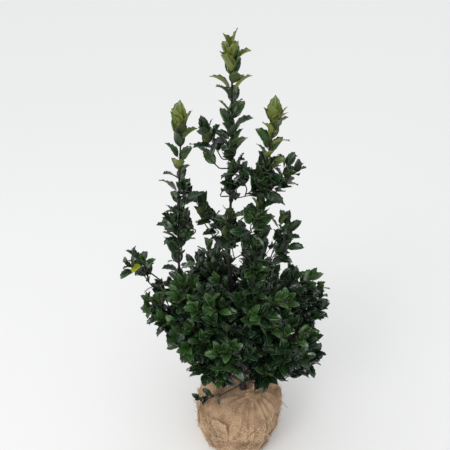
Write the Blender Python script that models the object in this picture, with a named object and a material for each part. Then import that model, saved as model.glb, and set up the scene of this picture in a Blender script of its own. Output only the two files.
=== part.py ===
"""Blue holly: an evergreen shrub with three leading shoots, standing on its
hessian-wrapped root ball.

Frame: metres, +Z up. The origin is the centre of the root ball's flat
underside. +X is to the right and +Y away when the shrub is seen from its front.

Pieces
  root ball   soil wrapped in hessian, flat underneath, with the gathered neck
              of the cloth and one turned-back corner of it
  limbs       the trunk, which runs up through the foliage to the tip of the
              middle spire, two more leaders, and boughs that leave them and
              stop where they enter a foliage mass
  foliage     three spires of stacked masses, three tiers of masses round the
              body of the crown, and the separate side shoots
"""
import math

import bmesh
import bpy
from mathutils import Vector, noise
from mathutils.bvhtree import BVHTree

# ------------------------------------------------------------------ sizes (m)
GAP = 0.0004                 # space kept between pieces that touch

TOTAL_HEIGHT = 1.038         # underside of the root ball to the top leaf
CROWN_HALF_WIDTH = 0.215     # furthest tips, left and right

BALL_SEAT_Z = 0.178          # level of the ball's top where the trunk stands
BALL_SEGMENTS = 28
# turned profile of the wrapped ball: height, radius
BALL_PROFILE = ((0.0, 0.0800), (0.010, 0.0895), (0.034, 0.0970), (0.066, 0.1035),
                (0.100, 0.1080), (0.132, 0.1070), (0.154, 0.0985), (0.170, 0.0820),
                (0.1785, 0.0580), (BALL_SEAT_Z, 0.0330))
# slow bulges round the ball: lobes, depth, turn
BALL_LOBES = ((2, 0.020, 0.50), (3, 0.022, 2.10), (5, 0.011, 0.90))

# lumps of cloth on the ball: centre, half-sizes, seed of the unevenness
HESSIAN_LUMPS = {
    "hessian_neck": ((0.040, -0.020, 0.181), (0.024, 0.017, 0.015), 2.0),
    "hessian_corner": ((-0.050, -0.093, 0.143), (0.022, 0.012, 0.018), 5.0),
}

TRUNK_FOOT = Vector((0.013, -0.010, BALL_SEAT_Z + GAP))
TRUNK_RADIUS = 0.0076        # above the flare
TRUNK_FLARE = 1.75           # foot radius over trunk radius
TRUNK_FLARE_HEIGHT = 0.022
TIP_RADIUS = 0.0017
LIMB_SIDES = 7

# points that a limb passes, foot to tip; a smooth curve runs through them
TRUNK_COURSE = (TRUNK_FOOT, Vector((0.010, -0.007, 0.300)), Vector((-0.008, 0.001, 0.450)),
                Vector((-0.017, 0.001, 0.600)), Vector((-0.012, 0.0, 0.740)),
                Vector((-0.009, 0.0, 0.870)), Vector((-0.007, 0.0, 0.985)))
# leader: height of its fork on the trunk, foot radius, course after the fork
LEADERS = {
    "leader_left": (0.262, 0.0052, (Vector((-0.052, -0.002, 0.360)),
                                    Vector((-0.101, 0.000, 0.455)),
                                    Vector((-0.121, 0.000, 0.550)),
                                    Vector((-0.110, 0.000, 0.730)),
                                    Vector((-0.095, 0.000, 0.875)))),
    "leader_right": (0.286, 0.0054, (Vector((0.026, -0.036, 0.375)),
                                     Vector((0.035, -0.052, 0.470)),
                                     Vector((0.035, -0.045, 0.600)),
                                     Vector((0.042, -0.032, 0.760)),
                                     Vector((0.062, -0.018, 0.885)))),
}
# bough: limb it leaves, height of the fork, foot radius, azimuth and rise in
# degrees (0 is +X, 90 is away), reach, and how far its end turns upward
BOUGHS = {
    "bough_left_low": ("trunk", 0.214, 0.0036, 190, 36, 0.180, 0.25),
    "bough_front_left": ("trunk", 0.228, 0.0036, 232, 44, 0.170, 0.25),
    "bough_front": ("trunk", 0.216, 0.0034, 268, 52, 0.200, 0.25),
    "bough_front_right": ("trunk", 0.240, 0.0036, 318, 42, 0.160, 0.25),
    "bough_right_low": ("trunk", 0.218, 0.0036, 352, 26, 0.170, 0.20),
    "bough_right_middle": ("trunk", 0.330, 0.0034, 8, 42, 0.170, 0.25),
    "bough_back_right": ("trunk", 0.226, 0.0036, 44, 40, 0.160, 0.25),
    "bough_back": ("trunk", 0.250, 0.0036, 92, 46, 0.170, 0.25),
    "bough_back_left": ("trunk", 0.212, 0.0036, 138, 40, 0.160, 0.25),
    "bough_back_high": ("trunk", 0.350, 0.0034, 62, 56, 0.170, 0.20),
    "bough_back_left_high": ("trunk", 0.372, 0.0032, 125, 52, 0.160, 0.20),
    "bough_diagonal": ("trunk", 0.588, 0.0020, 150, 50, 0.120, 0.10),
    "bough_low_sprig": ("trunk", 0.203, 0.0016, 220, 12, 0.130, 0.10),
}
# the bough that shows between two masses on the left: course, foot radius
OUTER_BOUGH = (("bough_outer_left", (Vector((-0.118, -0.010, 0.506)), Vector((-0.148, -0.007, 0.530)),
                                     Vector((-0.177, -0.003, 0.557)), Vector((-0.203, 0.000, 0.583))),
                0.0024),)

MASS_POINTS = 78             # points spread over each mass
MASS_LOBES = ((1.55, 0.17), (3.7, 0.075))   # unevenness: frequency, depth

# stacked masses of a spire: limb, part of the name, and for each mass its
# height, half-width, half-depth, half-height and sideways shift
SPIRES = (
    ("trunk", "centre", (("top", 0.987, 0.031, 0.028, 0.062, 0.000),
                         ("upper", 0.892, 0.029, 0.029, 0.056, -0.001),
                         ("middle", 0.790, 0.036, 0.036, 0.060, 0.002),
                         ("low", 0.678, 0.042, 0.044, 0.064, 0.000))),
    ("leader_left", "left", (("top", 0.866, 0.031, 0.028, 0.046, 0.000),
                             ("upper", 0.778, 0.033, 0.031, 0.052, 0.002),
                             ("middle", 0.680, 0.043, 0.036, 0.056, -0.008))),
    ("leader_right", "right", (("top", 0.874, 0.027, 0.026, 0.046, 0.001),
                               ("upper", 0.797, 0.041, 0.038, 0.046, 0.002),
                               ("middle", 0.704, 0.037, 0.040, 0.055, 0.000),
                               ("low", 0.602, 0.038, 0.042, 0.054, 0.002))),
)

# tiers of masses round the crown's body. Each tier: name, height, distance of
# the centres from the axis across and in depth, half-size across, in depth and
# in height, and the azimuths of its masses with their names
TIERS = (
    ("upper", 0.520, 0.108, 0.092, (0.060, 0.058, 0.062),
     (("right", 4), ("back_right", 58), ("back_left", 122), ("left", 183),
      ("front_left", 232), ("front_right", 302))),
    ("middle", 0.420, 0.150, 0.118, (0.062, 0.060, 0.064),
     (("right", 2), ("back_right", 48), ("back", 92), ("back_left", 136), ("left", 181),
      ("front_left", 226), ("front", 268), ("front_right", 314))),
    ("lower", 0.315, 0.116, 0.088, (0.058, 0.054, 0.052),
     (("right", 352), ("back_right", 52), ("back_left", 122), ("left", 188),
      ("front_left", 236), ("front_right", 304))),
)
# what single tier masses have of their own: shift of the centre, size factors
TIER_OWN = {
    "upper_right": ((0.004, -0.010, -0.012), (1.05, 1.0, 1.0)),
    "upper_left": ((-0.010, -0.012, -0.014), (0.93, 1.0, 0.88)),
    "upper_front_left": ((0.002, 0.004, 0.000), (1.0, 1.0, 1.0)),
    "middle_right": ((-0.002, -0.004, 0.040), (1.0, 1.0, 1.15)),
    "middle_left": ((-0.008, 0.000, 0.046), (1.0, 1.0, 0.85)),
    "middle_front_left": ((0.008, 0.010, 0.048), (0.95, 1.0, 0.9)),
    "middle_front": ((-0.004, 0.010, 0.040), (1.0, 1.0, 0.95)),
    "middle_front_right": ((-0.002, 0.006, 0.022), (1.0, 1.0, 1.0)),
    "lower_right": ((0.032, -0.008, 0.008), (1.15, 1.0, 1.15)),
    "lower_left": ((0.006, 0.006, 0.040), (0.90, 1.0, 0.9)),
    "lower_front_left": ((0.004, 0.010, 0.034), (0.95, 1.0, 0.85)),
    "lower_front_right": ((0.006, 0.010, 0.034), (1.0, 1.0, 0.9)),
}
# side shoots that stand apart from the crown: centre, half-sizes
SHOOTS = {
    "shoot_outer_left": ((-0.203, 0.000, 0.583), (0.035, 0.032, 0.042)),
    "shoot_high_left": ((-0.053, 0.004, 0.864), (0.026, 0.024, 0.030)),
    "shoot_inner_left": ((-0.064, 0.022, 0.690), (0.034, 0.032, 0.062)),
    "shoot_high_right": ((0.086, -0.006, 0.790), (0.038, 0.029, 0.034)),
    "shoot_outer_right": ((0.102, 0.004, 0.640), (0.045, 0.040, 0.062)),
    "shoot_low_front": ((-0.088, -0.074, 0.236), (0.038, 0.030, 0.040)),
}

COLOURS = {                  # base colour, roughness
    "hessian": ((0.46, 0.31, 0.19), 0.95),
    "bark": ((0.055, 0.040, 0.042), 0.70),
    "leaf_dark": ((0.020, 0.058, 0.026), 0.38),
    "leaf_mid": ((0.035, 0.095, 0.035), 0.36),
    "leaf_new": ((0.150, 0.190, 0.035), 0.36),
}


# ------------------------------------------------------------------ helpers
def smooth_course(points, steps):
    """Points of a smooth curve through `points`, `steps` to each stretch."""
    padded = [2 * points[0] - points[1], *points, 2 * points[-1] - points[-2]]
    course = []
    for i in range(1, len(padded) - 2):
        a, b, c, d = padded[i - 1:i + 3]
        for step in range(steps):
            t = step / steps
            course.append(0.5 * (2 * b + (c - a) * t + (2 * a - 5 * b + 4 * c - d) * t * t
                                 + (3 * b - a - 3 * c + d) * t ** 3))
    course.append(points[-1].copy())
    return course


def at_height(course, z):
    """Point and direction of a rising course at height z."""
    for a, b in zip(course, course[1:]):
        if b.z >= z:
            t = max(0.0, (z - a.z) / (b.z - a.z))
            return a.lerp(b, t), (b - a).normalized()
    return course[-1].copy(), (course[-1] - course[-2]).normalized()


def ring(centre, direction, radius, side, sides):
    """Corners of one ring of a limb; `side` keeps the rings from twisting."""
    direction = direction.normalized()
    side = (side - direction * side.dot(direction)).normalized()
    other = direction.cross(side)
    return side, [centre + radius * (math.cos(2 * math.pi * k / sides) * side
                                     + math.sin(2 * math.pi * k / sides) * other)
                  for k in range(sides)]


def limb_mesh(course, radii, sides, level_rings=0):
    """A tapering limb along a course, closed at both ends. Its first
    `level_rings` rings lie level."""
    bm = bmesh.new()
    side = Vector((1, 0, 0)) if abs((course[1] - course[0]).normalized().x) < 0.8 else Vector((0, 1, 0))
    rings = []
    for i, centre in enumerate(course):
        direction = course[min(i + 1, len(course) - 1)] - course[max(i - 1, 0)]
        if i < level_rings:
            direction = Vector((0, 0, 1))
        side, corners = ring(centre, direction, radii[i], side, sides)
        rings.append([bm.verts.new(c) for c in corners])
    for low, high in zip(rings, rings[1:]):
        for k in range(sides):
            bm.faces.new((low[k], low[(k + 1) % sides], high[(k + 1) % sides], high[k]))
    bm.faces.new(reversed(rings[0]))
    bm.faces.new(rings[-1])
    bmesh.ops.triangulate(bm, faces=bm.faces[:])
    bmesh.ops.recalc_face_normals(bm, faces=bm.faces[:])
    return bm


def limb_cutter(course, radii, sides, flat_foot=False):
    """The same limb with the gap all round it and past its tip and foot."""
    longer = [point.copy() for point in course]
    longer[-1] += (course[-1] - course[-2]).normalized() * 0.002
    radii = [r + GAP for r in radii]
    if flat_foot:
        longer.insert(0, course[0] - Vector((0, 0, 0.002)))
        radii.insert(0, radii[0])
    return limb_mesh(longer, radii, sides, 2 if flat_foot else 0)


def material(name):
    colour, roughness = COLOURS[name]
    made = bpy.data.materials.get(name)
    if made is None:
        made = bpy.data.materials.new(name)
        made.use_nodes = True
        shader = made.node_tree.nodes["Principled BSDF"]
        shader.inputs["Base Color"].default_value = (*colour, 1.0)
        shader.inputs["Roughness"].default_value = roughness
        shader.inputs["Metallic"].default_value = 0.0
    return made


def add_object(name, bm, colour, place, parent, smooth=True):
    """Put a bmesh with world coordinates into the scene as an object at `place`."""
    for vert in bm.verts:
        vert.co -= place
    mesh = bpy.data.meshes.new(name)
    bm.to_mesh(mesh)
    bm.free()
    if smooth:
        mesh.shade_smooth()
    mesh.materials.append(material(colour))
    made = bpy.data.objects.new(name, mesh)
    made.location = place
    made.parent = parent
    bpy.context.collection.objects.link(made)
    return made


# ------------------------------------------------------------------ root ball
def lobe_factor(angle, strength):
    return 1 + strength * sum(depth * math.sin(lobes * angle + turn)
                              for lobes, depth, turn in BALL_LOBES)


def ball_mesh(grow=0.0):
    """The wrapped ball, or with `grow` the same shape with room round it."""
    bm = bmesh.new()
    rings = []
    for index, (height, radius) in enumerate(BALL_PROFILE):
        last = index in (0, len(BALL_PROFILE) - 1)
        corners = []
        for k in range(BALL_SEGMENTS):
            angle = 2 * math.pi * k / BALL_SEGMENTS
            factor = lobe_factor(angle, min(1.0, height / 0.06))
            # the soil sits higher behind the trunk than in front of it
            lift = 0.0 if last else 0.007 * math.sin(angle - 0.4) * min(1.0, height / 0.15)
            out = radius * factor + grow
            corners.append(bm.verts.new((out * math.cos(angle), out * math.sin(angle),
                                         height + lift + (grow if index else -grow))))
        rings.append(corners)
    for low, high in zip(rings, rings[1:]):
        for k in range(BALL_SEGMENTS):
            n = (k + 1) % BALL_SEGMENTS
            bm.faces.new((low[k], low[n], high[n], high[k]))
    bm.faces.new(reversed(rings[0]))
    bm.faces.new(rings[-1])
    bmesh.ops.triangulate(bm, faces=bm.faces[:])
    bmesh.ops.recalc_face_normals(bm, faces=bm.faces[:])
    return bm


def make_lump(name, centre, sizes, seed, colour, parent, points=46):
    """A small uneven lump of cloth that lies on the ball, cut to fit it."""
    bm = sphere_points(points)
    for vert in bm.verts:
        way = vert.co.normalized()
        size = 1 / math.sqrt(sum((way[i] / sizes[i]) ** 2 for i in range(3)))
        size *= 1 + 0.16 * noise.noise(way * 2.3 + Vector((seed, 1.7 * seed, 0)))
        vert.co = centre + way * size
    bmesh.ops.recalc_face_normals(bm, faces=bm.faces[:])
    made = add_object(name, bm, colour, Vector(centre), parent)
    cut_round(made, ball_mesh(GAP))
    return made


# ------------------------------------------------------------------ foliage
def sphere_points(count):
    """A closed mesh of evenly spread directions on the unit sphere."""
    bm = bmesh.new()
    golden = math.pi * (3 - math.sqrt(5))
    for i in range(count):
        z = 1 - 2 * (i + 0.5) / count
        level = math.sqrt(1 - z * z)
        bm.verts.new((level * math.cos(golden * i), level * math.sin(golden * i), z))
    hull = bmesh.ops.convex_hull(bm, input=bm.verts[:])
    loose = [v for v in hull["geom_unused"] if isinstance(v, bmesh.types.BMVert)]
    if loose:
        bmesh.ops.delete(bm, geom=loose, context="VERTS")
    return bm


class Mass:
    """One foliage mass: a star-shaped, uneven solid round its centre."""

    def __init__(self, name, centre, sizes, colour):
        self.name, self.centre, self.sizes, self.colour = name, Vector(centre), sizes, colour
        self.planes = []     # (unit direction, distance): the mass stays inside

    def support(self, way):
        """How far the plain ellipsoid reaches in a direction."""
        return math.sqrt(sum((self.sizes[i] * way[i]) ** 2 for i in range(3)))

    def reach(self, way, seed):
        size = 1 / math.sqrt(sum((way[i] / self.sizes[i]) ** 2 for i in range(3)))
        for frequency, depth in MASS_LOBES:
            size *= 1 + depth * noise.noise(way * frequency + Vector((3.1 * seed, 1.3 * seed, 0.7 * seed)))
        for normal, distance in self.planes:
            lean = way.dot(normal)
            if lean > 1e-6:
                size = min(size, distance / lean)
        return size

    def mesh(self, seed):
        bm = sphere_points(MASS_POINTS)
        for vert in bm.verts:
            way = vert.co.normalized()
            vert.co = self.centre + way * self.reach(way, seed)
        bmesh.ops.recalc_face_normals(bm, faces=bm.faces[:])
        return bm


def lay_out_masses(courses):
    masses = []
    for limb, side, stack in SPIRES:
        for part, height, half_x, half_y, half_z, shift in stack:
            point, _ = at_height(courses[limb], height)
            colour = "leaf_new" if part == "top" else "leaf_mid"
            masses.append(Mass("foliage_%s_%s" % (side, part),
                               (point.x + shift, point.y, height), (half_x, half_y, half_z), colour))
    for tier, height, far_x, far_y, sizes, places in TIERS:
        for index, (side, azimuth) in enumerate(places):
            angle = math.radians(azimuth)
            shift, factors = TIER_OWN.get("%s_%s" % (tier, side), ((0, 0, 0), (1, 1, 1)))
            centre = Vector((far_x * math.cos(angle), far_y * math.sin(angle),
                             height + 0.006 * math.sin(2.4 * index))) + Vector(shift)
            own = tuple(size * factor for size, factor in zip(sizes, factors))
            masses.append(Mass("foliage_%s_%s" % (tier, side), centre, own, "leaf_dark"))
    for name, (centre, sizes) in SHOOTS.items():
        masses.append(Mass("foliage_%s" % name, centre, sizes, "leaf_mid"))
    return masses


def part_masses(masses):
    """Give each pair of neighbours a plane between them, where their surfaces
    would meet, and keep every mass clear of the root ball and under the top."""
    for i, one in enumerate(masses):
        for other in masses[i + 1:]:
            apart = other.centre - one.centre
            way = apart.normalized()
            near, far = one.support(way), other.support(-way)
            if near + far < 0.8 * apart.length:
                continue
            share = apart.length * near / (near + far)
            one.planes.append((way, share - GAP))
            other.planes.append((-way, apart.length - share - GAP))
    for mass in masses:
        mass.planes.append((Vector((0, 0, 1)), TOTAL_HEIGHT - mass.centre.z))
        for sign in (-1, 1):
            mass.planes.append((Vector((sign, 0, 0)), 1.10 * CROWN_HALF_WIDTH - sign * mass.centre.x))
        if mass.centre.z < 0.36:
            low = mass.centre.z - 0.212
            if low > 0.015:
                mass.planes.append((Vector((0, 0, -1)), low))


def solid_of(made):
    """Closed mesh of an object in world coordinates, for distance tests."""
    bm = bmesh.new()
    bm.from_mesh(made.data)
    bm.transform(made.matrix_basis)
    tree = BVHTree.FromBMesh(bm)
    bm.free()
    return tree


def cut_round(made, cutter_bm):
    """Cut a piece round another that it meets, such as a mass round a limb."""
    mesh = bpy.data.meshes.new("cutter")
    cutter_bm.to_mesh(mesh)
    cutter_bm.free()
    cutter = bpy.data.objects.new("cutter", mesh)
    cutter.display_type = "WIRE"
    cutter.hide_render = True
    bpy.context.collection.objects.link(cutter)
    cut = made.modifiers.new("round_limb", "BOOLEAN")
    cut.operation = "DIFFERENCE"
    cut.solver = "EXACT"
    cut.object = cutter
    bpy.context.view_layer.update()
    graph = bpy.context.evaluated_depsgraph_get()
    result = bpy.data.meshes.new_from_object(made.evaluated_get(graph))
    made.modifiers.clear()
    old = made.data
    made.data = result
    result.name = made.name
    bpy.data.meshes.remove(old)
    bpy.data.objects.remove(cutter)
    bpy.data.meshes.remove(mesh)
    bm = bmesh.new()
    bm.from_mesh(result)
    bmesh.ops.remove_doubles(bm, verts=bm.verts[:], dist=0.000002)
    bmesh.ops.dissolve_degenerate(bm, edges=bm.edges[:], dist=0.000002)
    bmesh.ops.triangulate(bm, faces=bm.faces[:])
    bm.to_mesh(result)
    bm.free()
    result.shade_smooth()


# ------------------------------------------------------------------ limbs
def tapered(course, foot, tip, power=0.85):
    """Radii along a course, from foot to tip."""
    lengths = [0.0]
    for a, b in zip(course, course[1:]):
        lengths.append(lengths[-1] + (b - a).length)
    return [tip + (foot - tip) * (1 - s / lengths[-1]) ** power for s in lengths]


def bough_course(parent_course, height, azimuth, rise, reach, turn_up, steps=7):
    """A bough's axis: out of its parent, rising, and turning up at its end."""
    start, _ = at_height(parent_course, height)
    heading = Vector((math.cos(math.radians(azimuth)), math.sin(math.radians(azimuth)), 0))
    course = [start]
    for step in range(1, steps + 1):
        t = step / steps
        angle = math.radians(rise) + turn_up * t
        course.append(course[-1] + (heading * math.cos(angle) + Vector((0, 0, math.sin(angle))))
                      * (reach / steps))
    return course


def main():
    for old in list(bpy.data.objects):
        bpy.data.objects.remove(old)

    root = bpy.data.objects.new("blue_holly_frame", None)
    bpy.context.collection.objects.link(root)

    add_object("root_ball", ball_mesh(), "hessian", Vector((0, 0, 0)), root)
    lumps = [make_lump(name, Vector(centre), sizes, seed, "hessian", root)
             for name, (centre, sizes, seed) in HESSIAN_LUMPS.items()]

    # trunk and leaders
    courses, radii = {}, {}
    courses["trunk"] = smooth_course(TRUNK_COURSE, 3)
    radii["trunk"] = tapered(courses["trunk"], TRUNK_RADIUS, TIP_RADIUS)
    foot = TRUNK_FOOT
    rise = (courses["trunk"][1] - foot).normalized()
    extra = [foot + rise * 0.007, foot + rise * TRUNK_FLARE_HEIGHT]
    courses["trunk"][1:1] = extra
    radii["trunk"][0:1] = [TRUNK_RADIUS * TRUNK_FLARE, TRUNK_RADIUS * 1.25, TRUNK_RADIUS]
    cutters = {"trunk": limb_cutter(courses["trunk"], radii["trunk"], LIMB_SIDES, flat_foot=True)}
    add_object("trunk", limb_mesh(courses["trunk"], radii["trunk"], LIMB_SIDES, level_rings=1),
               "bark", foot.copy(), root)
    cut_round(lumps[0], cutters["trunk"].copy())
    for name, (height, foot_radius, points) in LEADERS.items():
        start, _ = at_height(courses["trunk"], height)
        courses[name] = smooth_course((start, *points), 3)
        radii[name] = tapered(courses[name], foot_radius, TIP_RADIUS)
        made = add_object(name, limb_mesh(courses[name], radii[name], LIMB_SIDES),
                          "bark", start.copy(), root)
        cut_round(made, cutters["trunk"].copy())
    for name in LEADERS:
        cutters[name] = limb_cutter(courses[name], radii[name], LIMB_SIDES)

    # foliage, cut round the trunk and the leaders
    masses = lay_out_masses(courses)
    part_masses(masses)
    foliage = []
    for index, mass in enumerate(masses):
        made = add_object(mass.name, mass.mesh(index + 1), mass.colour, mass.centre, root)
        foliage.append(made)
    for made in foliage:
        for name, cutter in cutters.items():
            limb_tree = BVHTree.FromBMesh(cutter)
            tree = solid_of(made)
            if tree.overlap(limb_tree) or inside(tree, courses[name]):
                cut_round(made, cutter.copy())
    # boughs end where they enter a mass
    trees = [(made, solid_of(made)) for made in foliage]
    for name, (parent, height, foot_radius, azimuth, rise, reach, turn_up) in BOUGHS.items():
        course = bough_course(courses[parent], height, azimuth, rise, reach, turn_up)
        tip_radius = max(TIP_RADIUS * 0.7, foot_radius * 0.5)
        course = stop_at_mass(course, trees, foot_radius)
        made = add_object(name, limb_mesh(course, tapered(course, foot_radius, tip_radius),
                                          LIMB_SIDES - 1),
                          "bark", course[0].copy(), root)
        cut_round(made, cutters[parent].copy())
    for name, points, foot_radius in OUTER_BOUGH:
        course = stop_at_mass(list(points), trees, foot_radius)
        add_object(name, limb_mesh(course, tapered(course, foot_radius, foot_radius * 0.6),
                                   LIMB_SIDES - 1), "bark", course[0].copy(), root)
    for cutter in cutters.values():
        cutter.free()
    bpy.context.view_layer.update()


def inside(tree, course):
    """Whether any point of a course lies within a closed mesh."""
    for point in course:
        hits, origin = 0, point.copy()
        for _ in range(12):
            hit = tree.ray_cast(origin, Vector((0.137, 0.291, 0.947)).normalized())
            if hit[0] is None:
                break
            hits += 1
            origin = hit[0] + Vector((0.137, 0.291, 0.947)).normalized() * 1e-6
        if hits % 2:
            return True
    return False


def stop_at_mass(course, trees, radius):
    """The part of a bough's course that lies outside the masses: from where it
    leaves its limb, or the mass it starts in, to where it enters the next."""
    fine = smooth_course(course, 8)
    clear = [not any(tree.find_nearest(point, radius + 3 * GAP)[0] is not None
                     or inside(tree, [point]) for _, tree in trees) for point in fine]
    first = 0
    while first < len(fine) - 1 and not clear[first]:
        first += 1
    last = first
    while last < len(fine) - 1 and clear[last + 1]:
        last += 1
    kept = fine[first:last + 1]
    count = max(3, min(6, len(kept) // 7))
    return [kept[round(i * (len(kept) - 1) / count)] for i in range(count + 1)]


main()
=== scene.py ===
"""Looks of the blue holly on its hessian-wrapped root ball: bark and twigs, leaves in
sprays that grow on from the limbs, and the wrapped ball with its gathered cloth."""
import math
import random

import bmesh
import bpy
import numpy as np
from mathutils import Matrix, Vector, noise
from mathutils.bvhtree import BVHTree


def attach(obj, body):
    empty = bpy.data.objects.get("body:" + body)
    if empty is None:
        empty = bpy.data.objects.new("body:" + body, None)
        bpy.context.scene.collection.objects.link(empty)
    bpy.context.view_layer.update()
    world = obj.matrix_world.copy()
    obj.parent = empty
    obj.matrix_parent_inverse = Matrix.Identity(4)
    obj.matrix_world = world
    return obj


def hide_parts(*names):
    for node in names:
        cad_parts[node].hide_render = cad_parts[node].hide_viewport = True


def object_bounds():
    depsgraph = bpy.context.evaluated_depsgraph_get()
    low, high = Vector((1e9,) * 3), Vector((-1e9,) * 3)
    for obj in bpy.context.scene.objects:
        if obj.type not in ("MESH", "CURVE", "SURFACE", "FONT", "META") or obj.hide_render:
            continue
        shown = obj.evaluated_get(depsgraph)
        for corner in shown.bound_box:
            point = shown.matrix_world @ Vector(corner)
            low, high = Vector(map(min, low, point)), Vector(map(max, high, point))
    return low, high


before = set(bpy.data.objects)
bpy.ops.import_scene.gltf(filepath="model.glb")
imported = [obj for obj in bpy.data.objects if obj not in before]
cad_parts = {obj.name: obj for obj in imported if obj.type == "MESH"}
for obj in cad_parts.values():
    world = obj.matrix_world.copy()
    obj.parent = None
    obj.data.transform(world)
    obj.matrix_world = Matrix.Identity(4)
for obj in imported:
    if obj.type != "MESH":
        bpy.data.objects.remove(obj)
CAD_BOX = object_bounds()
SIZE_LO = np.array(CAD_BOX[0]) - 0.009 - 0.012
SIZE_HI = np.array(CAD_BOX[1]) + 0.009 + 0.012
SIZE_LO[2], SIZE_HI[2] = 0.0, CAD_BOX[1][2] + 0.012
rng = random.Random(4711)
UP = np.array([0.0, 0.0, 1.0])

# ------------------------------------------------------------------ camera, floor, light
cam_data = bpy.data.cameras.new("camera")
cam_data.lens, cam_data.sensor_width, cam_data.sensor_fit = 36.0, 36.0, "HORIZONTAL"
cam_data.clip_start, cam_data.clip_end = 0.02, 100
camera = bpy.data.objects.new("camera", cam_data)
bpy.context.scene.collection.objects.link(camera)
CAM = Vector((-0.024, -0.73, 1.162))
RIGHT = Vector((0.99975, -0.012322, -0.018487))
CUP = Vector((0.022217, 0.554465, 0.831906))
BACK = Vector((0.0, -0.832116, 0.554604))
camera.matrix_world = Matrix(((RIGHT.x, CUP.x, BACK.x, CAM.x), (RIGHT.y, CUP.y, BACK.y, CAM.y),
                              (RIGHT.z, CUP.z, BACK.z, CAM.z), (0, 0, 0, 1)))
bpy.context.scene.camera = camera


def pixel(point):
    """Where the photograph's frame shows a point."""
    v = Vector(point) - CAM
    depth = -v.dot(BACK)
    return 225 + 450 * v.dot(RIGHT) / depth, 225 - 450 * v.dot(CUP) / depth


def ray_at(x, y, depth_y):
    """The point on a pixel's line of sight at world Y = depth_y."""
    way = RIGHT * ((x - 225) / 450) - CUP * ((y - 225) / 450) - BACK
    t = (depth_y - CAM.y) / way.y
    return np.array(CAM + way * t)


def plain(name, colour, rough, coat=0.0, coat_rough=0.1, spec=0.5):
    m = bpy.data.materials.new(name)
    m.use_nodes = True
    s = m.node_tree.nodes["Principled BSDF"]
    s.inputs["Base Color"].default_value = (*colour, 1)
    s.inputs["Roughness"].default_value = rough
    s.inputs["Specular IOR Level"].default_value = spec
    s.inputs["Coat Weight"].default_value = coat
    s.inputs["Coat Roughness"].default_value = coat_rough
    return m


bpy.ops.mesh.primitive_plane_add(size=60, location=(0, 0, 0))
floor = bpy.context.object
floor.name = "floor"
floor.data.materials.append(plain("floor_pale", (0.84, 0.84, 0.825), 0.9, spec=0.2))

world = bpy.data.worlds.new("studio")
world.use_nodes = True
world.node_tree.nodes["Background"].inputs[0].default_value = (0.95, 0.97, 1.0, 1)
world.node_tree.nodes["Background"].inputs[1].default_value = 0.50
bpy.context.scene.world = world


def area(name, place, size, power, target=(0, 0, 0.55), colour=(1, 1, 1)):
    data = bpy.data.lights.new(name, "AREA")
    data.shape, data.size, data.energy, data.color = "SQUARE", size, power, colour
    made = bpy.data.objects.new(name, data)
    made.location = place
    made.rotation_euler = (Vector(target) - Vector(place)).to_track_quat("-Z", "Y").to_euler()
    bpy.context.scene.collection.objects.link(made)


area("front_left", (-1.6, -1.7, 2.2), 1.0, 16)
sky = bpy.data.lights.new("tent", "SUN")
sky.energy, sky.angle = 1.75, math.radians(80)
tent = bpy.data.objects.new("tent", sky)
tent.rotation_euler = (math.radians(20), math.radians(-10), 0)
bpy.context.scene.collection.objects.link(tent)
bpy.context.scene.view_settings.view_transform = "Standard"
bpy.context.scene.view_settings.look = "None"


# ------------------------------------------------------------------ mesh building
class Builder:
    """Collects vertices and faces of one joined piece."""

    def __init__(self):
        self.v, self.f, self.m, self.n = [], [], [], 0

    def add(self, verts, faces, mats):
        verts = np.asarray(verts, np.float32).reshape(-1, 3)
        faces = np.asarray(faces, np.int64)
        self.v.append(verts)
        self.f.append(faces + self.n)
        self.m.append(np.broadcast_to(np.asarray(mats, np.int32), (len(faces),)).copy())
        self.n += len(verts)

    def make(self, name, materials, uv=None, smooth=True):
        verts = np.concatenate(self.v)
        mesh = bpy.data.meshes.new(name)
        mesh.vertices.add(len(verts))
        mesh.vertices.foreach_set("co", verts.ravel())
        loops = np.concatenate([f.ravel() for f in self.f])
        sizes = np.concatenate([np.full(len(f), f.shape[1], np.int32) for f in self.f])
        starts = np.concatenate(([0], np.cumsum(sizes)[:-1])).astype(np.int32)
        mesh.loops.add(len(loops))
        mesh.loops.foreach_set("vertex_index", loops.astype(np.int32))
        mesh.polygons.add(len(sizes))
        mesh.polygons.foreach_set("loop_start", starts)
        mesh.polygons.foreach_set("loop_total", sizes)
        mesh.polygons.foreach_set("material_index", np.concatenate(self.m))
        mesh.polygons.foreach_set("use_smooth", np.full(len(sizes), smooth))
        mesh.update(calc_edges=True)
        mesh.validate()
        for m in materials:
            mesh.materials.append(m)
        if uv is not None:
            layer = mesh.uv_layers.new(name="cloth")
            layer.data.foreach_set("uv", uv[loops].astype(np.float32).ravel())
        made = bpy.data.objects.new(name, mesh)
        bpy.context.scene.collection.objects.link(made)
        return made


def unit(v):
    v = np.asarray(v, float)
    return v / max(1e-9, np.linalg.norm(v))


def smooth_course(points, steps):
    """A smooth curve through points, as the construction has it."""
    p = [np.asarray(q, float) for q in points]
    p = [2 * p[0] - p[1], *p, 2 * p[-1] - p[-2]]
    out = []
    for i in range(1, len(p) - 2):
        a, b, c, d = p[i - 1:i + 3]
        for k in range(steps):
            t = k / steps
            out.append(0.5 * (2 * b + (c - a) * t + (2 * a - 5 * b + 4 * c - d) * t * t
                              + (3 * b - a - 3 * c + d) * t ** 3))
    out.append(p[-2])
    return np.array(out)


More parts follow.
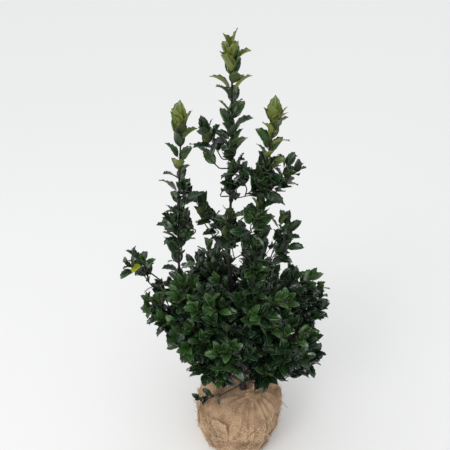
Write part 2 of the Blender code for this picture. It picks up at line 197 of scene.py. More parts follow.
def tube(builder, course, radii, sides, mat=0, relief=0.0, seed=0.0):
    """A closed tapering tube; relief gives it leaf scars and fissures."""
    course = np.asarray(course, float)
    n = len(course)
    tangents = np.gradient(course, axis=0)
    tangents /= np.maximum(1e-9, np.linalg.norm(tangents, axis=1))[:, None]
    side = unit(np.cross(tangents[0], [0.31, 0.92, 0.13]))
    rings = []
    along = 0.0
    for i in range(n):
        if i:
            along += float(np.linalg.norm(course[i] - course[i - 1]))
        side = unit(side - tangents[i] * np.dot(side, tangents[i]))
        other = np.cross(tangents[i], side)
        for k in range(sides):
            a = 2 * math.pi * k / sides
            r = radii[i]
            if relief:
                r += relief * r * (noise.noise(Vector((math.cos(a) * 1.6, math.sin(a) * 1.6, along * 55 + seed)))
                                   + 0.7 * noise.noise(Vector((math.cos(a) * 4, math.sin(a) * 4, along * 160 + seed))))
            rings.append(course[i] + r * (math.cos(a) * side + math.sin(a) * other))
    quads = [(i * sides + k, i * sides + (k + 1) % sides, (i + 1) * sides + (k + 1) % sides, (i + 1) * sides + k)
             for i in range(n - 1) for k in range(sides)]
    base = len(rings)
    rings += [course[0] - tangents[0] * radii[0] * 0.2, course[-1] + tangents[-1] * radii[-1] * 0.6]
    tris = [(base, (k + 1) % sides, k) for k in range(sides)]
    tris += [(base + 1, (n - 1) * sides + k, (n - 1) * sides + (k + 1) % sides) for k in range(sides)]
    builder.add(rings, quads, mat)
    builder.f.append(np.asarray(tris) + builder.n - len(rings))
    builder.m.append(np.full(len(tris), mat, np.int32))


# ------------------------------------------------------------------ node materials
def nodes_of(name, rough, spec=0.3):
    m = bpy.data.materials.new(name)
    m.use_nodes = True
    t = m.node_tree
    s = t.nodes["Principled BSDF"]
    s.inputs["Roughness"].default_value = rough
    s.inputs["Specular IOR Level"].default_value = spec
    return m, t, s


def bark_material(name, dark, light, rough):
    m, t, s = nodes_of(name, rough)
    co = t.nodes.new("ShaderNodeTexCoord")
    streak = t.nodes.new("ShaderNodeMapping")
    streak.inputs["Scale"].default_value = (1, 1, 0.35)
    n1 = t.nodes.new("ShaderNodeTexNoise")
    n1.inputs["Scale"].default_value = 260
    n1.inputs["Detail"].default_value = 5
    ramp = t.nodes.new("ShaderNodeValToRGB")
    ramp.color_ramp.elements[0].position, ramp.color_ramp.elements[0].color = 0.35, (*dark, 1)
    ramp.color_ramp.elements[1].position, ramp.color_ramp.elements[1].color = 0.72, (*light, 1)
    bump = t.nodes.new("ShaderNodeBump")
    bump.inputs["Strength"].default_value = 0.5
    bump.inputs["Distance"].default_value = 0.0006
    t.links.new(co.outputs["Object"], streak.inputs["Vector"])
    t.links.new(streak.outputs["Vector"], n1.inputs["Vector"])
    t.links.new(n1.outputs["Fac"], ramp.inputs["Fac"])
    t.links.new(ramp.outputs["Color"], s.inputs["Base Color"])
    t.links.new(n1.outputs["Fac"], bump.inputs["Height"])
    t.links.new(bump.outputs["Normal"], s.inputs["Normal"])
    return m


def hessian_material():
    """Loose jute weave: light threads over soil that shows in the gaps."""
    m, t, s = nodes_of("hessian_weave", 0.95, 0.1)
    N, L = t.nodes, t.links
    uv = N.new("ShaderNodeTexCoord")
    obj = uv
    wob = N.new("ShaderNodeTexNoise")
    wob.inputs["Scale"].default_value = 38
    wob.inputs["Detail"].default_value = 2
    mix = N.new("ShaderNodeMixRGB")
    mix.blend_type, mix.inputs["Fac"].default_value = "ADD", 0.0045
    L.new(uv.outputs["UV"], mix.inputs["Color1"])
    L.new(wob.outputs["Color"], mix.inputs["Color2"])
    L.new(obj.outputs["Object"], wob.inputs["Vector"])
    heights = []
    for direction in ("X", "Y"):
        w = N.new("ShaderNodeTexWave")
        w.wave_type, w.bands_direction, w.wave_profile = "BANDS", direction, "SIN"
        w.inputs["Scale"].default_value = 88
        w.inputs["Distortion"].default_value = 0.7
        w.inputs["Detail"].default_value = 2
        w.inputs["Detail Scale"].default_value = 6
        L.new(mix.outputs["Color"], w.inputs["Vector"])
        heights.append(w)
    weave = N.new("ShaderNodeMath")
    weave.operation = "MAXIMUM"
    L.new(heights[0].outputs["Fac"], weave.inputs[0])
    L.new(heights[1].outputs["Fac"], weave.inputs[1])
    soil = N.new("ShaderNodeTexNoise")
    soil.inputs["Scale"].default_value = 17
    soil.inputs["Detail"].default_value = 6
    soil.inputs["Roughness"].default_value = 0.62
    L.new(obj.outputs["Object"], soil.inputs["Vector"])
    soil_ramp = N.new("ShaderNodeValToRGB")
    soil_ramp.color_ramp.elements[0].position, soil_ramp.color_ramp.elements[0].color = 0.36, (0, 0, 0, 1)
    soil_ramp.color_ramp.elements[1].position, soil_ramp.color_ramp.elements[1].color = 0.66, (1, 1, 1, 1)
    L.new(soil.outputs["Fac"], soil_ramp.inputs["Fac"])
    gap = N.new("ShaderNodeValToRGB")
    gap.color_ramp.elements[0].position, gap.color_ramp.elements[0].color = 0.28, (0, 0, 0, 1)
    gap.color_ramp.elements[1].position, gap.color_ramp.elements[1].color = 0.62, (1, 1, 1, 1)
    L.new(weave.outputs[0], gap.inputs["Fac"])
    fine = N.new("ShaderNodeTexNoise")
    fine.inputs["Scale"].default_value = 420
    fine.inputs["Detail"].default_value = 3
    L.new(obj.outputs["Object"], fine.inputs["Vector"])
    thread = N.new("ShaderNodeValToRGB")
    thread.color_ramp.elements[0].position, thread.color_ramp.elements[0].color = 0.30, (0.47, 0.29, 0.165, 1)
    thread.color_ramp.elements[1].position, thread.color_ramp.elements[1].color = 0.70, (0.80, 0.575, 0.375, 1)
    L.new(fine.outputs["Fac"], thread.inputs["Fac"])
    ground = N.new("ShaderNodeMixRGB")
    ground.inputs["Color1"].default_value = (0.27, 0.165, 0.092, 1)
    ground.inputs["Color2"].default_value = (0.105, 0.062, 0.038, 1)
    L.new(soil_ramp.outputs["Color"], ground.inputs["Fac"])
    cloth = N.new("ShaderNodeMixRGB")
    L.new(gap.outputs["Color"], cloth.inputs["Fac"])
    L.new(ground.outputs["Color"], cloth.inputs["Color1"])
    L.new(thread.outputs["Color"], cloth.inputs["Color2"])
    stain = N.new("ShaderNodeMixRGB")
    stain.blend_type = "MULTIPLY"
    stain.inputs["Fac"].default_value = 0.75
    stain_ramp = N.new("ShaderNodeValToRGB")
    stain_ramp.color_ramp.elements[0].position, stain_ramp.color_ramp.elements[0].color = 0.46, (1, 1, 1, 1)
    stain_ramp.color_ramp.elements[1].position, stain_ramp.color_ramp.elements[1].color = 0.66, (0.30, 0.22, 0.17, 1)
    L.new(soil.outputs["Fac"], stain_ramp.inputs["Fac"])
    L.new(cloth.outputs["Color"], stain.inputs["Color1"])
    L.new(stain_ramp.outputs["Color"], stain.inputs["Color2"])
    L.new(stain.outputs["Color"], s.inputs["Base Color"])
    bump = N.new("ShaderNodeBump")
    bump.inputs["Strength"].default_value = 0.9
    bump.inputs["Distance"].default_value = 0.0011
    L.new(weave.outputs[0], bump.inputs["Height"])
    L.new(bump.outputs["Normal"], s.inputs["Normal"])
    return m


BARK = bark_material("bark_old", (0.012, 0.009, 0.010), (0.060, 0.042, 0.040), 0.62)
TWIG = bark_material("bark_twig", (0.016, 0.015, 0.012), (0.062, 0.052, 0.034), 0.5)
GREEN_TWIG = bark_material("bark_green", (0.040, 0.050, 0.018), (0.105, 0.110, 0.045), 0.45)
HESSIAN = hessian_material()

# ------------------------------------------------------------------ leaf tones
TOPS = [("leaf_blue_dark", (0.0052, 0.0200, 0.0115)), ("leaf_dark", (0.0075, 0.0270, 0.0095)),
        ("leaf_green", (0.0130, 0.0440, 0.0110)), ("leaf_fresh", (0.0300, 0.0860, 0.0150)),
        ("leaf_olive", (0.1100, 0.1600, 0.0220)), ("leaf_lime", (0.4400, 0.5000, 0.0300))]
UNDERS = [("under_dark", (0.0320, 0.0560, 0.0240)), ("under_green", (0.0750, 0.1060, 0.0320)),
          ("under_olive", (0.1900, 0.2250, 0.0480))]
RIBS = [("rib_green", (0.060, 0.095, 0.030)), ("rib_yellow", (0.250, 0.270, 0.070))]
LEAF_MATS = [plain(n, c, 0.26, coat=0.45, coat_rough=0.12, spec=0.5) for n, c in TOPS]
LEAF_MATS += [plain(n, c, 0.46, spec=0.40) for n, c in UNDERS]
LEAF_MATS += [plain(n, c, 0.36, spec=0.40) for n, c in RIBS]
UNDER_OF = (0, 0, 0, 1, 2, 2)
RIB_OF = (0, 0, 0, 0, 1, 1)

# leaf blade: stations from petiole to tip, half-width share, and spine tips at the margin
STATIONS = ((0.000, 0.06, 0), (0.060, 0.40, 0), (0.170, 0.80, 0), (0.290, 0.98, 0), (0.410, 1.05, 1),
            (0.520, 0.96, -1), (0.630, 0.94, 1), (0.730, 0.73, -1), (0.820, 0.62, 1), (0.905, 0.32, -1),
            (1.000, 0.015, 0))
COLUMNS = (-1.0, -0.52, -0.065, 0.065, 0.52, 1.0)
NS, NC = len(STATIONS), len(COLUMNS)


def blade_faces():
    top = np.arange(NS * NC).reshape(NS, NC)
    low = top.copy()
    extra = NS * NC
    for i in range(1, NS - 1):
        for j in range(1, NC - 1):
            low[i, j] = extra
            extra += 1
    faces, part = [], []
    for i in range(NS - 1):
        for j in range(NC - 1):
            rib = 2 if j == NC // 2 - 1 else 0
            faces.append((top[i, j], top[i + 1, j], top[i + 1, j + 1], top[i, j + 1]))
            part.append(rib)
            faces.append((low[i, j], low[i, j + 1], low[i + 1, j + 1], low[i + 1, j]))
            part.append(1)
    return np.array(faces), np.array(part), extra


BLADE_FACES, BLADE_PART, BLADE_VERTS = blade_faces()
leaves = []          # base, direction, normal, length, width, curl, fold, wave, phase, twist, tone, region
petioles = Builder()


def add_leaf(base, way, normal, length, tone, region, width=None, curl=None):
    way, normal = unit(way), np.asarray(normal, float)
    normal = unit(normal - way * np.dot(normal, way))
    tip = base + way * length * 0.93
    if np.any(tip < SIZE_LO) or np.any(tip > SIZE_HI) or tip[2] < 0.006:
        return False
    leaves.append((base, way, normal, length, width or length * rng.uniform(0.245, 0.30),
                   rng.uniform(-1.05, -0.15) if curl is None else curl, rng.uniform(0.10, 0.55),
                   rng.uniform(0.02, 0.10), rng.uniform(0, 6.28), rng.uniform(-0.5, 0.5), tone, region))
    return True


def make_leaves():
    by_region = {}
    counts = {}
    for leaf in leaves:
        counts[leaf[-1]] = counts.get(leaf[-1], -1) + 1
        share = counts[leaf[-1]] // 900
        by_region.setdefault(leaf[-1] + ("_%d" % (share + 1) if share else ""), []).append(leaf)
    t = np.array([s[0] for s in STATIONS])
    w = np.array([s[1] for s in STATIONS])
    tooth = np.array([s[2] for s in STATIONS])
    u = np.array(COLUMNS)
    made = []
    for region, group in by_region.items():
        n = len(group)
        base = np.array([g[0] for g in group])
        way = np.array([g[1] for g in group])
        normal = np.array([g[2] for g in group])
        side = np.cross(normal, way)
        length, width, curl, fold, wave, phase, twist, tone = (np.array([g[k] for g in group]) for k in range(3, 11))
        fine = np.linspace(0, 1, 41)
        ang = curl[:, None] * fine[None, :] ** 1.6 + 0.12
        step_x, step_z = np.cos(ang) / 40, np.sin(ang) / 40
        cx = np.concatenate((np.zeros((n, 1)), np.cumsum(step_x[:, :-1], axis=1)), axis=1)
        cz = np.concatenate((np.zeros((n, 1)), np.cumsum(step_z[:, :-1], axis=1)), axis=1)
        px = np.array([np.interp(t, fine, cx[i]) for i in range(n)]) * length[:, None]
        pz = np.array([np.interp(t, fine, cz[i]) for i in range(n)]) * length[:, None]
        a = curl[:, None] * t[None, :] ** 1.6 + 0.12
        across = u[None, None, :] * w[None, :, None] * width[:, None, None]
        edge = (np.abs(u) == 1.0)[None, None, :]
        forward = edge * np.where(tooth == 1, 0.016, np.where(tooth == -1, -0.008, 0.0))[None, :, None] * length[:, None, None]
        tw = twist[:, None, None] * t[None, :, None]
        lift = np.abs(across) * np.sin(fold)[:, None, None]
        lift = lift + wave[:, None, None] * width[:, None, None] * np.sin(
            11.0 * t[None, :, None] + phase[:, None, None] + 1.3 * np.sign(u)[None, None, :]) * (u ** 2)[None, None, :]
        spine = edge * np.where(tooth == 1, 0.10, 0.0)[None, :, None] * width[:, None, None]
        lift = lift + spine
        y = across * np.cos(tw) - lift * np.sin(tw)
        z = across * np.sin(tw) + lift * np.cos(tw)
        X = px[:, :, None] + forward - z * np.sin(a)[:, :, None]
        Z = pz[:, :, None] + z * np.cos(a)[:, :, None]
        top = (base[:, None, None, :] + X[..., None] * way[:, None, None, :] + y[..., None] * side[:, None, None, :]
               + Z[..., None] * normal[:, None, None, :])
        thick = 0.00038
        low = top[:, 1:-1, 1:-1, :] - normal[:, None, None, :] * thick
        verts = np.concatenate((top.reshape(n, -1, 3), low.reshape(n, -1, 3)), axis=1)
        faces = BLADE_FACES[None] + (np.arange(n) * BLADE_VERTS)[:, None, None]
        tone = tone.astype(int)
        mats = np.where(BLADE_PART[None] == 0, tone[:, None],
                        np.where(BLADE_PART[None] == 1, 6 + np.array(UNDER_OF)[tone][:, None],
                                 9 + np.array(RIB_OF)[tone][:, None]))
        b = Builder()
        b.add(verts.reshape(-1, 3), faces.reshape(-1, 4), mats.ravel())
        piece = b.make("leaves_" + region, LEAF_MATS)
        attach(piece, "root")
        made.append(piece)
    return made


# ------------------------------------------------------------------ limbs, as the construction has them
FOOT = np.array((0.013, -0.010, 0.1784))
TRUNK_POINTS = (FOOT, (0.010, -0.007, 0.300), (-0.008, 0.001, 0.450), (-0.017, 0.001, 0.600),
                (-0.012, 0.0, 0.740), (-0.009, 0.0, 0.870), (-0.007, 0.0, 0.985))
LEADERS = {"leader_left": (0.262, 0.0052, ((-0.052, -0.002, 0.360), (-0.101, 0.0, 0.455), (-0.121, 0.0, 0.550),
                                           (-0.110, 0.0, 0.730), (-0.095, 0.0, 0.875))),
           "leader_right": (0.286, 0.0054, ((0.026, -0.036, 0.375), (0.035, -0.052, 0.470), (0.035, -0.045, 0.600),
                                            (0.042, -0.032, 0.760), (0.062, -0.018, 0.885)))}
BOUGHS = {"bough_left_low": (0.214, 0.0036, 190, 36, 0.180, 0.25), "bough_front_left": (0.228, 0.0036, 232, 44, 0.170, 0.25),
          "bough_front": (0.216, 0.0034, 268, 52, 0.200, 0.25), "bough_front_right": (0.240, 0.0036, 318, 42, 0.160, 0.25),
          "bough_right_low": (0.218, 0.0036, 352, 26, 0.170, 0.20), "bough_right_middle": (0.330, 0.0034, 8, 42, 0.170, 0.25),
          "bough_back_right": (0.226, 0.0036, 44, 40, 0.160, 0.25), "bough_back": (0.250, 0.0036, 92, 46, 0.170, 0.25),
          "bough_back_left": (0.212, 0.0036, 138, 40, 0.160, 0.25), "bough_back_high": (0.350, 0.0034, 62, 56, 0.170, 0.20),
          "bough_back_left_high": (0.372, 0.0032, 125, 52, 0.160, 0.20), "bough_diagonal": (0.588, 0.0020, 150, 50, 0.120, 0.10),
          "bough_low_sprig": (0.203, 0.0016, 220, 12, 0.130, 0.10)}


def at_height(course, z):
    for a, b in zip(course, course[1:]):
        if b[2] >= z:
            f = max(0.0, (z - a[2]) / (b[2] - a[2]))
            return a + (b - a) * f
    return course[-1]


def tapered(course, foot, tip, power=1.0):
    s = np.concatenate(([0], np.cumsum(np.linalg.norm(np.diff(course, axis=0), axis=1))))
    return tip + (foot - tip) * (1 - s / s[-1]) ** power


skeleton = []        # points that twigs may leave from


def remember(course, gap=0.008):
    last = None
    for p in course:
        if last is None or np.linalg.norm(p - last) > gap:
            skeleton.append(np.array(p))
            last = p


wood = Builder()
courses = {}
courses["trunk"] = smooth_course(TRUNK_POINTS, 14)
r = tapered(courses["trunk"], 0.0076, 0.0015, 1.7)
rise = np.linalg.norm(courses["trunk"] - FOOT, axis=1)
r = r * (1 + 0.75 * np.clip(1 - rise / 0.022, 0, 1) ** 1.6)
tube(wood, courses["trunk"], r, 14, relief=0.22, seed=1)
remember(courses["trunk"])
for k, (name, (height, foot_radius, points)) in enumerate(LEADERS.items()):
    courses[name] = smooth_course((at_height(courses["trunk"], height), *points), 12)
    tube(wood, courses[name], tapered(courses[name], foot_radius, 0.0014, 1.5), 12, relief=0.22, seed=7 + 3 * k)
    remember(courses[name])
for k, (name, (height, foot_radius, az, tilt, reach, turn)) in enumerate(BOUGHS.items()):
    p = at_height(courses["trunk"], height)
    heading = np.array([math.cos(math.radians(az)), math.sin(math.radians(az)), 0])
    line = [p]
    if name == "bough_low_sprig":
        reach = 0.088
    for step in range(1, 15):
        angle = math.radians(tilt) + turn * step / 14
        line.append(line[-1] + (heading * math.cos(angle) + UP * math.sin(angle)) * reach / 14
                    + np.array([math.sin(step * 1.3 + k), math.cos(step * 1.1 + 2 * k), 0]) * 0.0007)
    courses[name] = np.array(line)
    tube(wood, courses[name], tapered(courses[name], foot_radius, max(0.0009, foot_radius * 0.42)), 9,
         relief=0.2, seed=20 + k)
    remember(courses[name])
outer = smooth_course((courses["leader_left"][22], (-0.118, -0.010, 0.506), (-0.148, -0.007, 0.530),
                       (-0.177, -0.003, 0.557), (-0.203, 0.0, 0.583)), 6)
courses["bough_outer_left"] = outer
tube(wood, outer, tapered(outer, 0.0026, 0.0012), 8, relief=0.2, seed=50)
remember(outer)

# ------------------------------------------------------------------ shoots
twigs = Builder()
GOLDEN = 2.39996


def frame_of(axis):
    e1 = unit(np.cross(axis, [0.2, 0.9, 0.15]))
    return e1, np.cross(axis, e1)


def leafy(course, spacing, size, tone, region, start=0.0, angle=(42, 66), rosette=3, tone_tip=None, drop=None):
    """Leaves in a spiral along a shoot, smaller and steeper at its tip."""
    course = np.asarray(course)
    seg = np.linalg.norm(np.diff(course, axis=0), axis=1)
    s = np.concatenate(([0], np.cumsum(seg)))
    total = s[-1]
    at = start * total
    turn = rng.uniform(0, 6.28)
    while at < total:
        f = at / total
        p = np.array([np.interp(at, s, course[:, i]) for i in range(3)])
        q = np.array([np.interp(min(total, at + 0.004), s, course[:, i]) for i in range(3)])
        p0 = np.array([np.interp(max(0, at - 0.004), s, course[:, i]) for i in range(3)])
        axis = unit(q - p0)
        e1, e2 = frame_of(axis)
        turn += GOLDEN + rng.uniform(-0.25, 0.25)
        out = math.cos(turn) * e1 + math.sin(turn) * e2
        near_tip = max(0.0, (at - (total - 0.03)) / 0.03)
        psi = math.radians(rng.uniform(*angle) - 16 * near_tip)
        way = math.cos(psi) * axis + math.sin(psi) * out
        way = unit(way + UP * rng.uniform(-0.05, 0.22))
        normal = axis + UP * 0.45 + 0.22 * np.array([rng.gauss(0, 1), rng.gauss(0, 1), rng.gauss(0, 1)])
        length = size * rng.uniform(0.82, 1.12) * (1 - 0.22 * near_tip) * (0.88 + 0.12 * min(1, f * 3 + 0.3))
        stalk = rng.uniform(0.003, 0.006)
        base = p + unit(way + 0.5 * out) * stalk
        own = tone + rng.choice((-1, 0, 0, 0, 1))
        if tone_tip is not None and near_tip > 0.1:
            own = tone_tip
        own = min(5, max(0, own))
        if (drop is None or not drop(base, way, length)) and add_leaf(base, way, normal, length, own, region):
            tube(petioles, [p, (p + base) / 2 + out * 0.0004, base + way * 0.001], [0.0008, 0.0006, 0.0006], 4,
                 mat=1 if own >= 3 else 0)
        at += spacing * rng.uniform(0.8, 1.2)
    # rosette at the very tip
    axis = unit(course[-1] - course[-3])
    e1, e2 = frame_of(axis)
    for k in range(rosette):
        turn += GOLDEN
        out = math.cos(turn) * e1 + math.sin(turn) * e2
        psi = math.radians(rng.uniform(8, 34))
        way = math.cos(psi) * axis + math.sin(psi) * out
        length = size * rng.uniform(0.48, 0.92)
        own = min(5, max(0, (tone_tip if tone_tip is not None else tone + rng.choice((0, 0, 1)))))
        add_leaf(course[-1] + out * 0.0012, way, axis + 0.3 * UP, length, own, region, curl=rng.uniform(-0.7, -0.05))


def twig_line(start, end, heading_end, bend):
    """A twig from a limb to the foot of a shoot, curving into the shoot's direction."""
    start, end = np.asarray(start, float), np.asarray(end, float)
    span = np.linalg.norm(end - start)
    a = start + (unit(end - start) + 0.35 * bend) * span * 0.33
    b = end - unit(heading_end) * span * 0.36
    t = np.linspace(0, 1, max(5, int(span / 0.010)))[:, None]
    return (1 - t) ** 3 * start + 3 * (1 - t) ** 2 * t * a + 3 * (1 - t) * t * t * b + t ** 3 * end


def grow_shoot(tip, heading, length, size, tone, region, spacing=0.0088, tone_tip=None, drop=None, angle=(42, 66)):
    """One leafy shoot that ends at tip, joined by a twig to the nearest limb below it."""
    tip, heading = np.asarray(tip, float), unit(heading)
    foot = tip - heading * length + UP * (-0.10 * length)
    bones = np.array(skeleton)
    apart = bones - foot
    cost = np.linalg.norm(apart, axis=1) + 1.2 * np.maximum(0, apart[:, 2] + 0.004)
    start = bones[int(np.argmin(cost))]
    bend = UP * 0.25 + np.array([rng.gauss(0, 0.2), rng.gauss(0, 0.2), 0])
    link = twig_line(start, foot, heading + UP * 0.1, bend)
    t = np.linspace(0, 1, 9)[:, None]
    sag = np.array([rng.gauss(0, 1), rng.gauss(0, 1), 0]) * 0.003
    shoot = foot * (1 - t) + tip * t + np.sin(t * math.pi) * (sag - UP * 0.003)
    whole = np.concatenate((link[:-1], shoot))
    span = np.linalg.norm(link[-1] - link[0])
    foot_r = 0.0011 + min(0.0012, span * 0.012)
    radii = np.linspace(foot_r, 0.00075, len(whole))
    tube(twigs, whole, radii, 6, mat=1 if tone >= 3 else 0)
    remember(link[1:], 0.012)
    remember(shoot[:-2], 0.014)
    if span > 0.035:
        # leaves on the inner stretch of the joining twig are one tone darker: partly older leaves, partly painted
        # shade of the crown's inside
        leafy(link[len(link) // 2:], spacing * 1.7, size * 0.95, max(0, tone - 1), region, rosette=0, drop=drop, angle=angle)
    leafy(shoot, spacing, size, tone, region, tone_tip=tone_tip, drop=drop, angle=angle)


# places where the photograph shows sky right through the plant: x0, x1, y0, y1
SKY = ((265, 275, 240, 261), (276, 285, 263, 279), (289, 299, 326, 344), (234, 240, 241, 262), (184, 196, 245, 262),
       (164, 172, 300, 315), (205, 222, 176, 200), (216, 226, 196, 207), (240, 250, 184, 206), (196, 206, 150, 180),
       (248, 256, 222, 236), (214, 224, 150, 176), (241, 250, 120, 136), (190, 200, 205, 214), (285, 296, 196, 208))


def in_sky(base, way, length):
    for f in (0.35, 0.75):
        x, y = pixel(base + way * length * f)
        for x0, x1, y0, y1 in SKY:
            if x0 < x < x1 and y0 < y < y1:
                return True
    return False


# the three spires: leaves straight on the leading stems
def part_of(course, low, high):
    return np.array([p for p in course if low <= p[2] <= high])


leafy(part_of(courses["trunk"], 0.60, 0.90), 0.0086, 0.038, 2, "centre_spire", angle=(38, 62), rosette=0, drop=in_sky)
leafy(part_of(courses["trunk"], 0.885, 0.99), 0.0084, 0.038, 3, "centre_spire", angle=(32, 56), rosette=5, tone_tip=4)
leafy(part_of(courses["leader_left"], 0.50, 0.80), 0.0088, 0.036, 2, "left_spire", angle=(40, 66), rosette=0, drop=in_sky)
leafy(part_of(courses["leader_left"], 0.79, 0.88), 0.0082, 0.035, 3, "left_spire", angle=(32, 58), rosette=5, tone_tip=4)
leafy(part_of(courses["leader_right"], 0.50, 0.82), 0.0078, 0.037, 2, "right_spire", angle=(38, 62), rosette=0, drop=in_sky)
leafy(part_of(courses["leader_right"], 0.80, 0.89), 0.0080, 0.036, 3, "right_spire", angle=(32, 56), rosette=5, tone_tip=4)

for stem, top, spread in (("trunk", 0.986, 0.20), ("leader_left", 0.874, 0.26), ("leader_right", 0.884, 0.26)):
    end = courses[stem][-1]
    for k in range(5):
        a = 2.4 * k + (0.4 if stem == "trunk" else 1.5)
        way = UP + (spread + 0.16 * k) * np.array([math.cos(a), math.sin(a), 0])
        add_leaf(end + np.array([0, 0, 0.002 - 0.003 * k]), way, np.array([-math.cos(a), -math.sin(a), 0.3]),
                 0.046 - 0.002 * k, 4 if k < 3 else 3, {"trunk": "centre_spire", "leader_left": "left_spire",
                                                       "leader_right": "right_spire"}[stem], curl=-0.35)

# every mass of the construction becomes shoots that grow on from the limbs
masses = {}
for name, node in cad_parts.items():
    if name.startswith("foliage_"):
        co = np.array([v.co for v in node.data.vertices])
        masses[name] = (co.mean(axis=0), co)

AXIS = np.array((-0.004, -0.004, 0.30))


def region_of(name):
    if "_centre_" in name:
        return "centre_spire"
    if "_left_" in name and "lower" not in name and "middle" not in name and "upper" not in name:
        return "left_spire"
    if "_right_" in name and "lower" not in name and "middle" not in name and "upper" not in name:
        return "right_spire"
    for tier in ("upper", "middle", "lower"):
        if "foliage_%s_" % tier in name:
            return "%s_%s" % (tier, "back" if "back" in name else "front")
    return "side_shoots"


COUNTS = {"lower": 12, "middle": 17, "upper": 15, "centre": 4, "left": 4, "right": 5, "shoot": 5}
targets = []
for name in sorted(masses):
    centre, co = masses[name]
    kind = name.split("_")[1]
    count = COUNTS[kind]
    if name.endswith(("_top",)):
        count = 0
    if name in ("foliage_centre_upper", "foliage_left_upper"):
        count = 1
    count = {"foliage_shoot_low_front": 2, "foliage_shoot_outer_left": 3, "foliage_shoot_high_left": 2,
             "foliage_shoot_high_right": 3}.get(name, count)
    spread = []
    tries = 0
    while len(spread) < count and tries < 400:
        tries += 1
        v = co[rng.randrange(len(co))]
        reach = np.linalg.norm(v - centre)
        f = max(0.15, (reach - rng.uniform(0.016, 0.026)) / reach) * rng.choice((1, 1, 1, 0.6))
        p = centre + (v - centre) * f
        if p[2] < centre[2] - 0.6 * (co[:, 2].max() - centre[2]) and rng.random() < 0.5:
            continue
        if all(np.linalg.norm(p - q) > (0.022 if kind in ("lower", "middle", "upper") else 0.018) for q in spread):
            spread.append(p)
    for p in spread:
        targets.append((name, kind, p, centre))
for k in range(20):
    p = np.array((rng.uniform(-0.060, 0.055), rng.uniform(-0.085, -0.022), 0.375 + 0.0095 * k))
    targets.append(("foliage_upper_front_left" if p[0] < 0 else "foliage_upper_front_right", "upper", p,
                    p + np.array((0, 0.03, -0.02))))
targets.sort(key=lambda item: float(np.min(np.linalg.norm(np.array(skeleton) - item[2], axis=1))))
# pixel spots where front shoots are dealt lighter leaf tones: painted sheen where the leaves catch the light, partly
# paler new growth
SHEEN_AND_NEW_GROWTH_SPOTS = ((187, 288), (204, 308), (186, 336), (217, 266), (210, 350), (231, 348), (270, 338), (311, 271), (317, 343),
           (268, 147), (150, 305), (130, 255))
for name, kind, p, centre in targets:
    flat = np.array([p[0] - AXIS[0], p[1] - AXIS[1], 0])
    outward = unit(flat) if np.linalg.norm(flat) > 0.01 else np.array([rng.gauss(0, 1), rng.gauss(0, 1), 0])
    heading = UP * rng.uniform(0.7, 1.1) + outward * rng.uniform(0.2, 0.8) + 0.3 * unit(p - centre) + 0.16 * np.array([rng.gauss(0, 1), rng.gauss(0, 1), 0])
    x, y = pixel(p)
    tone = rng.choice((0, 0, 1, 1, 1, 2))
    tone_tip = rng.choice((None, None, 2, 3))
    # lighter tones near these spots are painted sheen, partly paler new growth
    if p[1] < 0.02 and any(abs(x - a) < 9 and abs(y - b) < 9 for a, b in SHEEN_AND_NEW_GROWTH_SPOTS):
        tone, tone_tip = 2, 3
    if kind in ("centre", "left", "right", "shoot"):
        tone = rng.choice((1, 1, 2, 2))
        tone_tip = rng.choice((None, 2, 3))
    length = rng.uniform(0.045, 0.075) if kind in ("lower", "middle", "upper") else rng.uniform(0.035, 0.055)
    size, spacing = rng.uniform(0.032, 0.038), 0.0088
    if name == "foliage_shoot_low_front":
        size, spacing, length, heading = 0.025, 0.012, 0.034, heading + np.array((-0.9, -0.3, -0.5))
    elif kind == "shoot":
        spacing = 0.0105
    grow_shoot(p, heading, length, size, tone, region_of(name), tone_tip=tone_tip, drop=in_sky, spacing=spacing)
# the one yellowed leaf of the outer left shoot
lime = ray_at(136, 268, -0.012)
nearest = np.array(skeleton)[int(np.argmin(np.linalg.norm(np.array(skeleton) - lime, axis=1)))]
add_leaf(nearest, lime - nearest + np.array((-0.004, -0.012, 0.0)), np.array((0.0, -0.6, 0.8)), 0.030, 5, "side_shoots", curl=-0.3)

# ------------------------------------------------------------------ wrapped ball
PROFILE = ((0.0, 0.0800), (0.010, 0.0895), (0.034, 0.0970), (0.066, 0.1035), (0.100, 0.1080), (0.132, 0.1070),
           (0.154, 0.0985), (0.170, 0.0820), (0.1785, 0.0580), (0.178, 0.0330), (0.1795, 0.0180), (0.188, 0.0105))
LOBES = ((2, 0.020, 0.50), (3, 0.022, 2.10), (5, 0.011, 0.90))
KNOT = np.array((0.040, -0.020, 0.181))


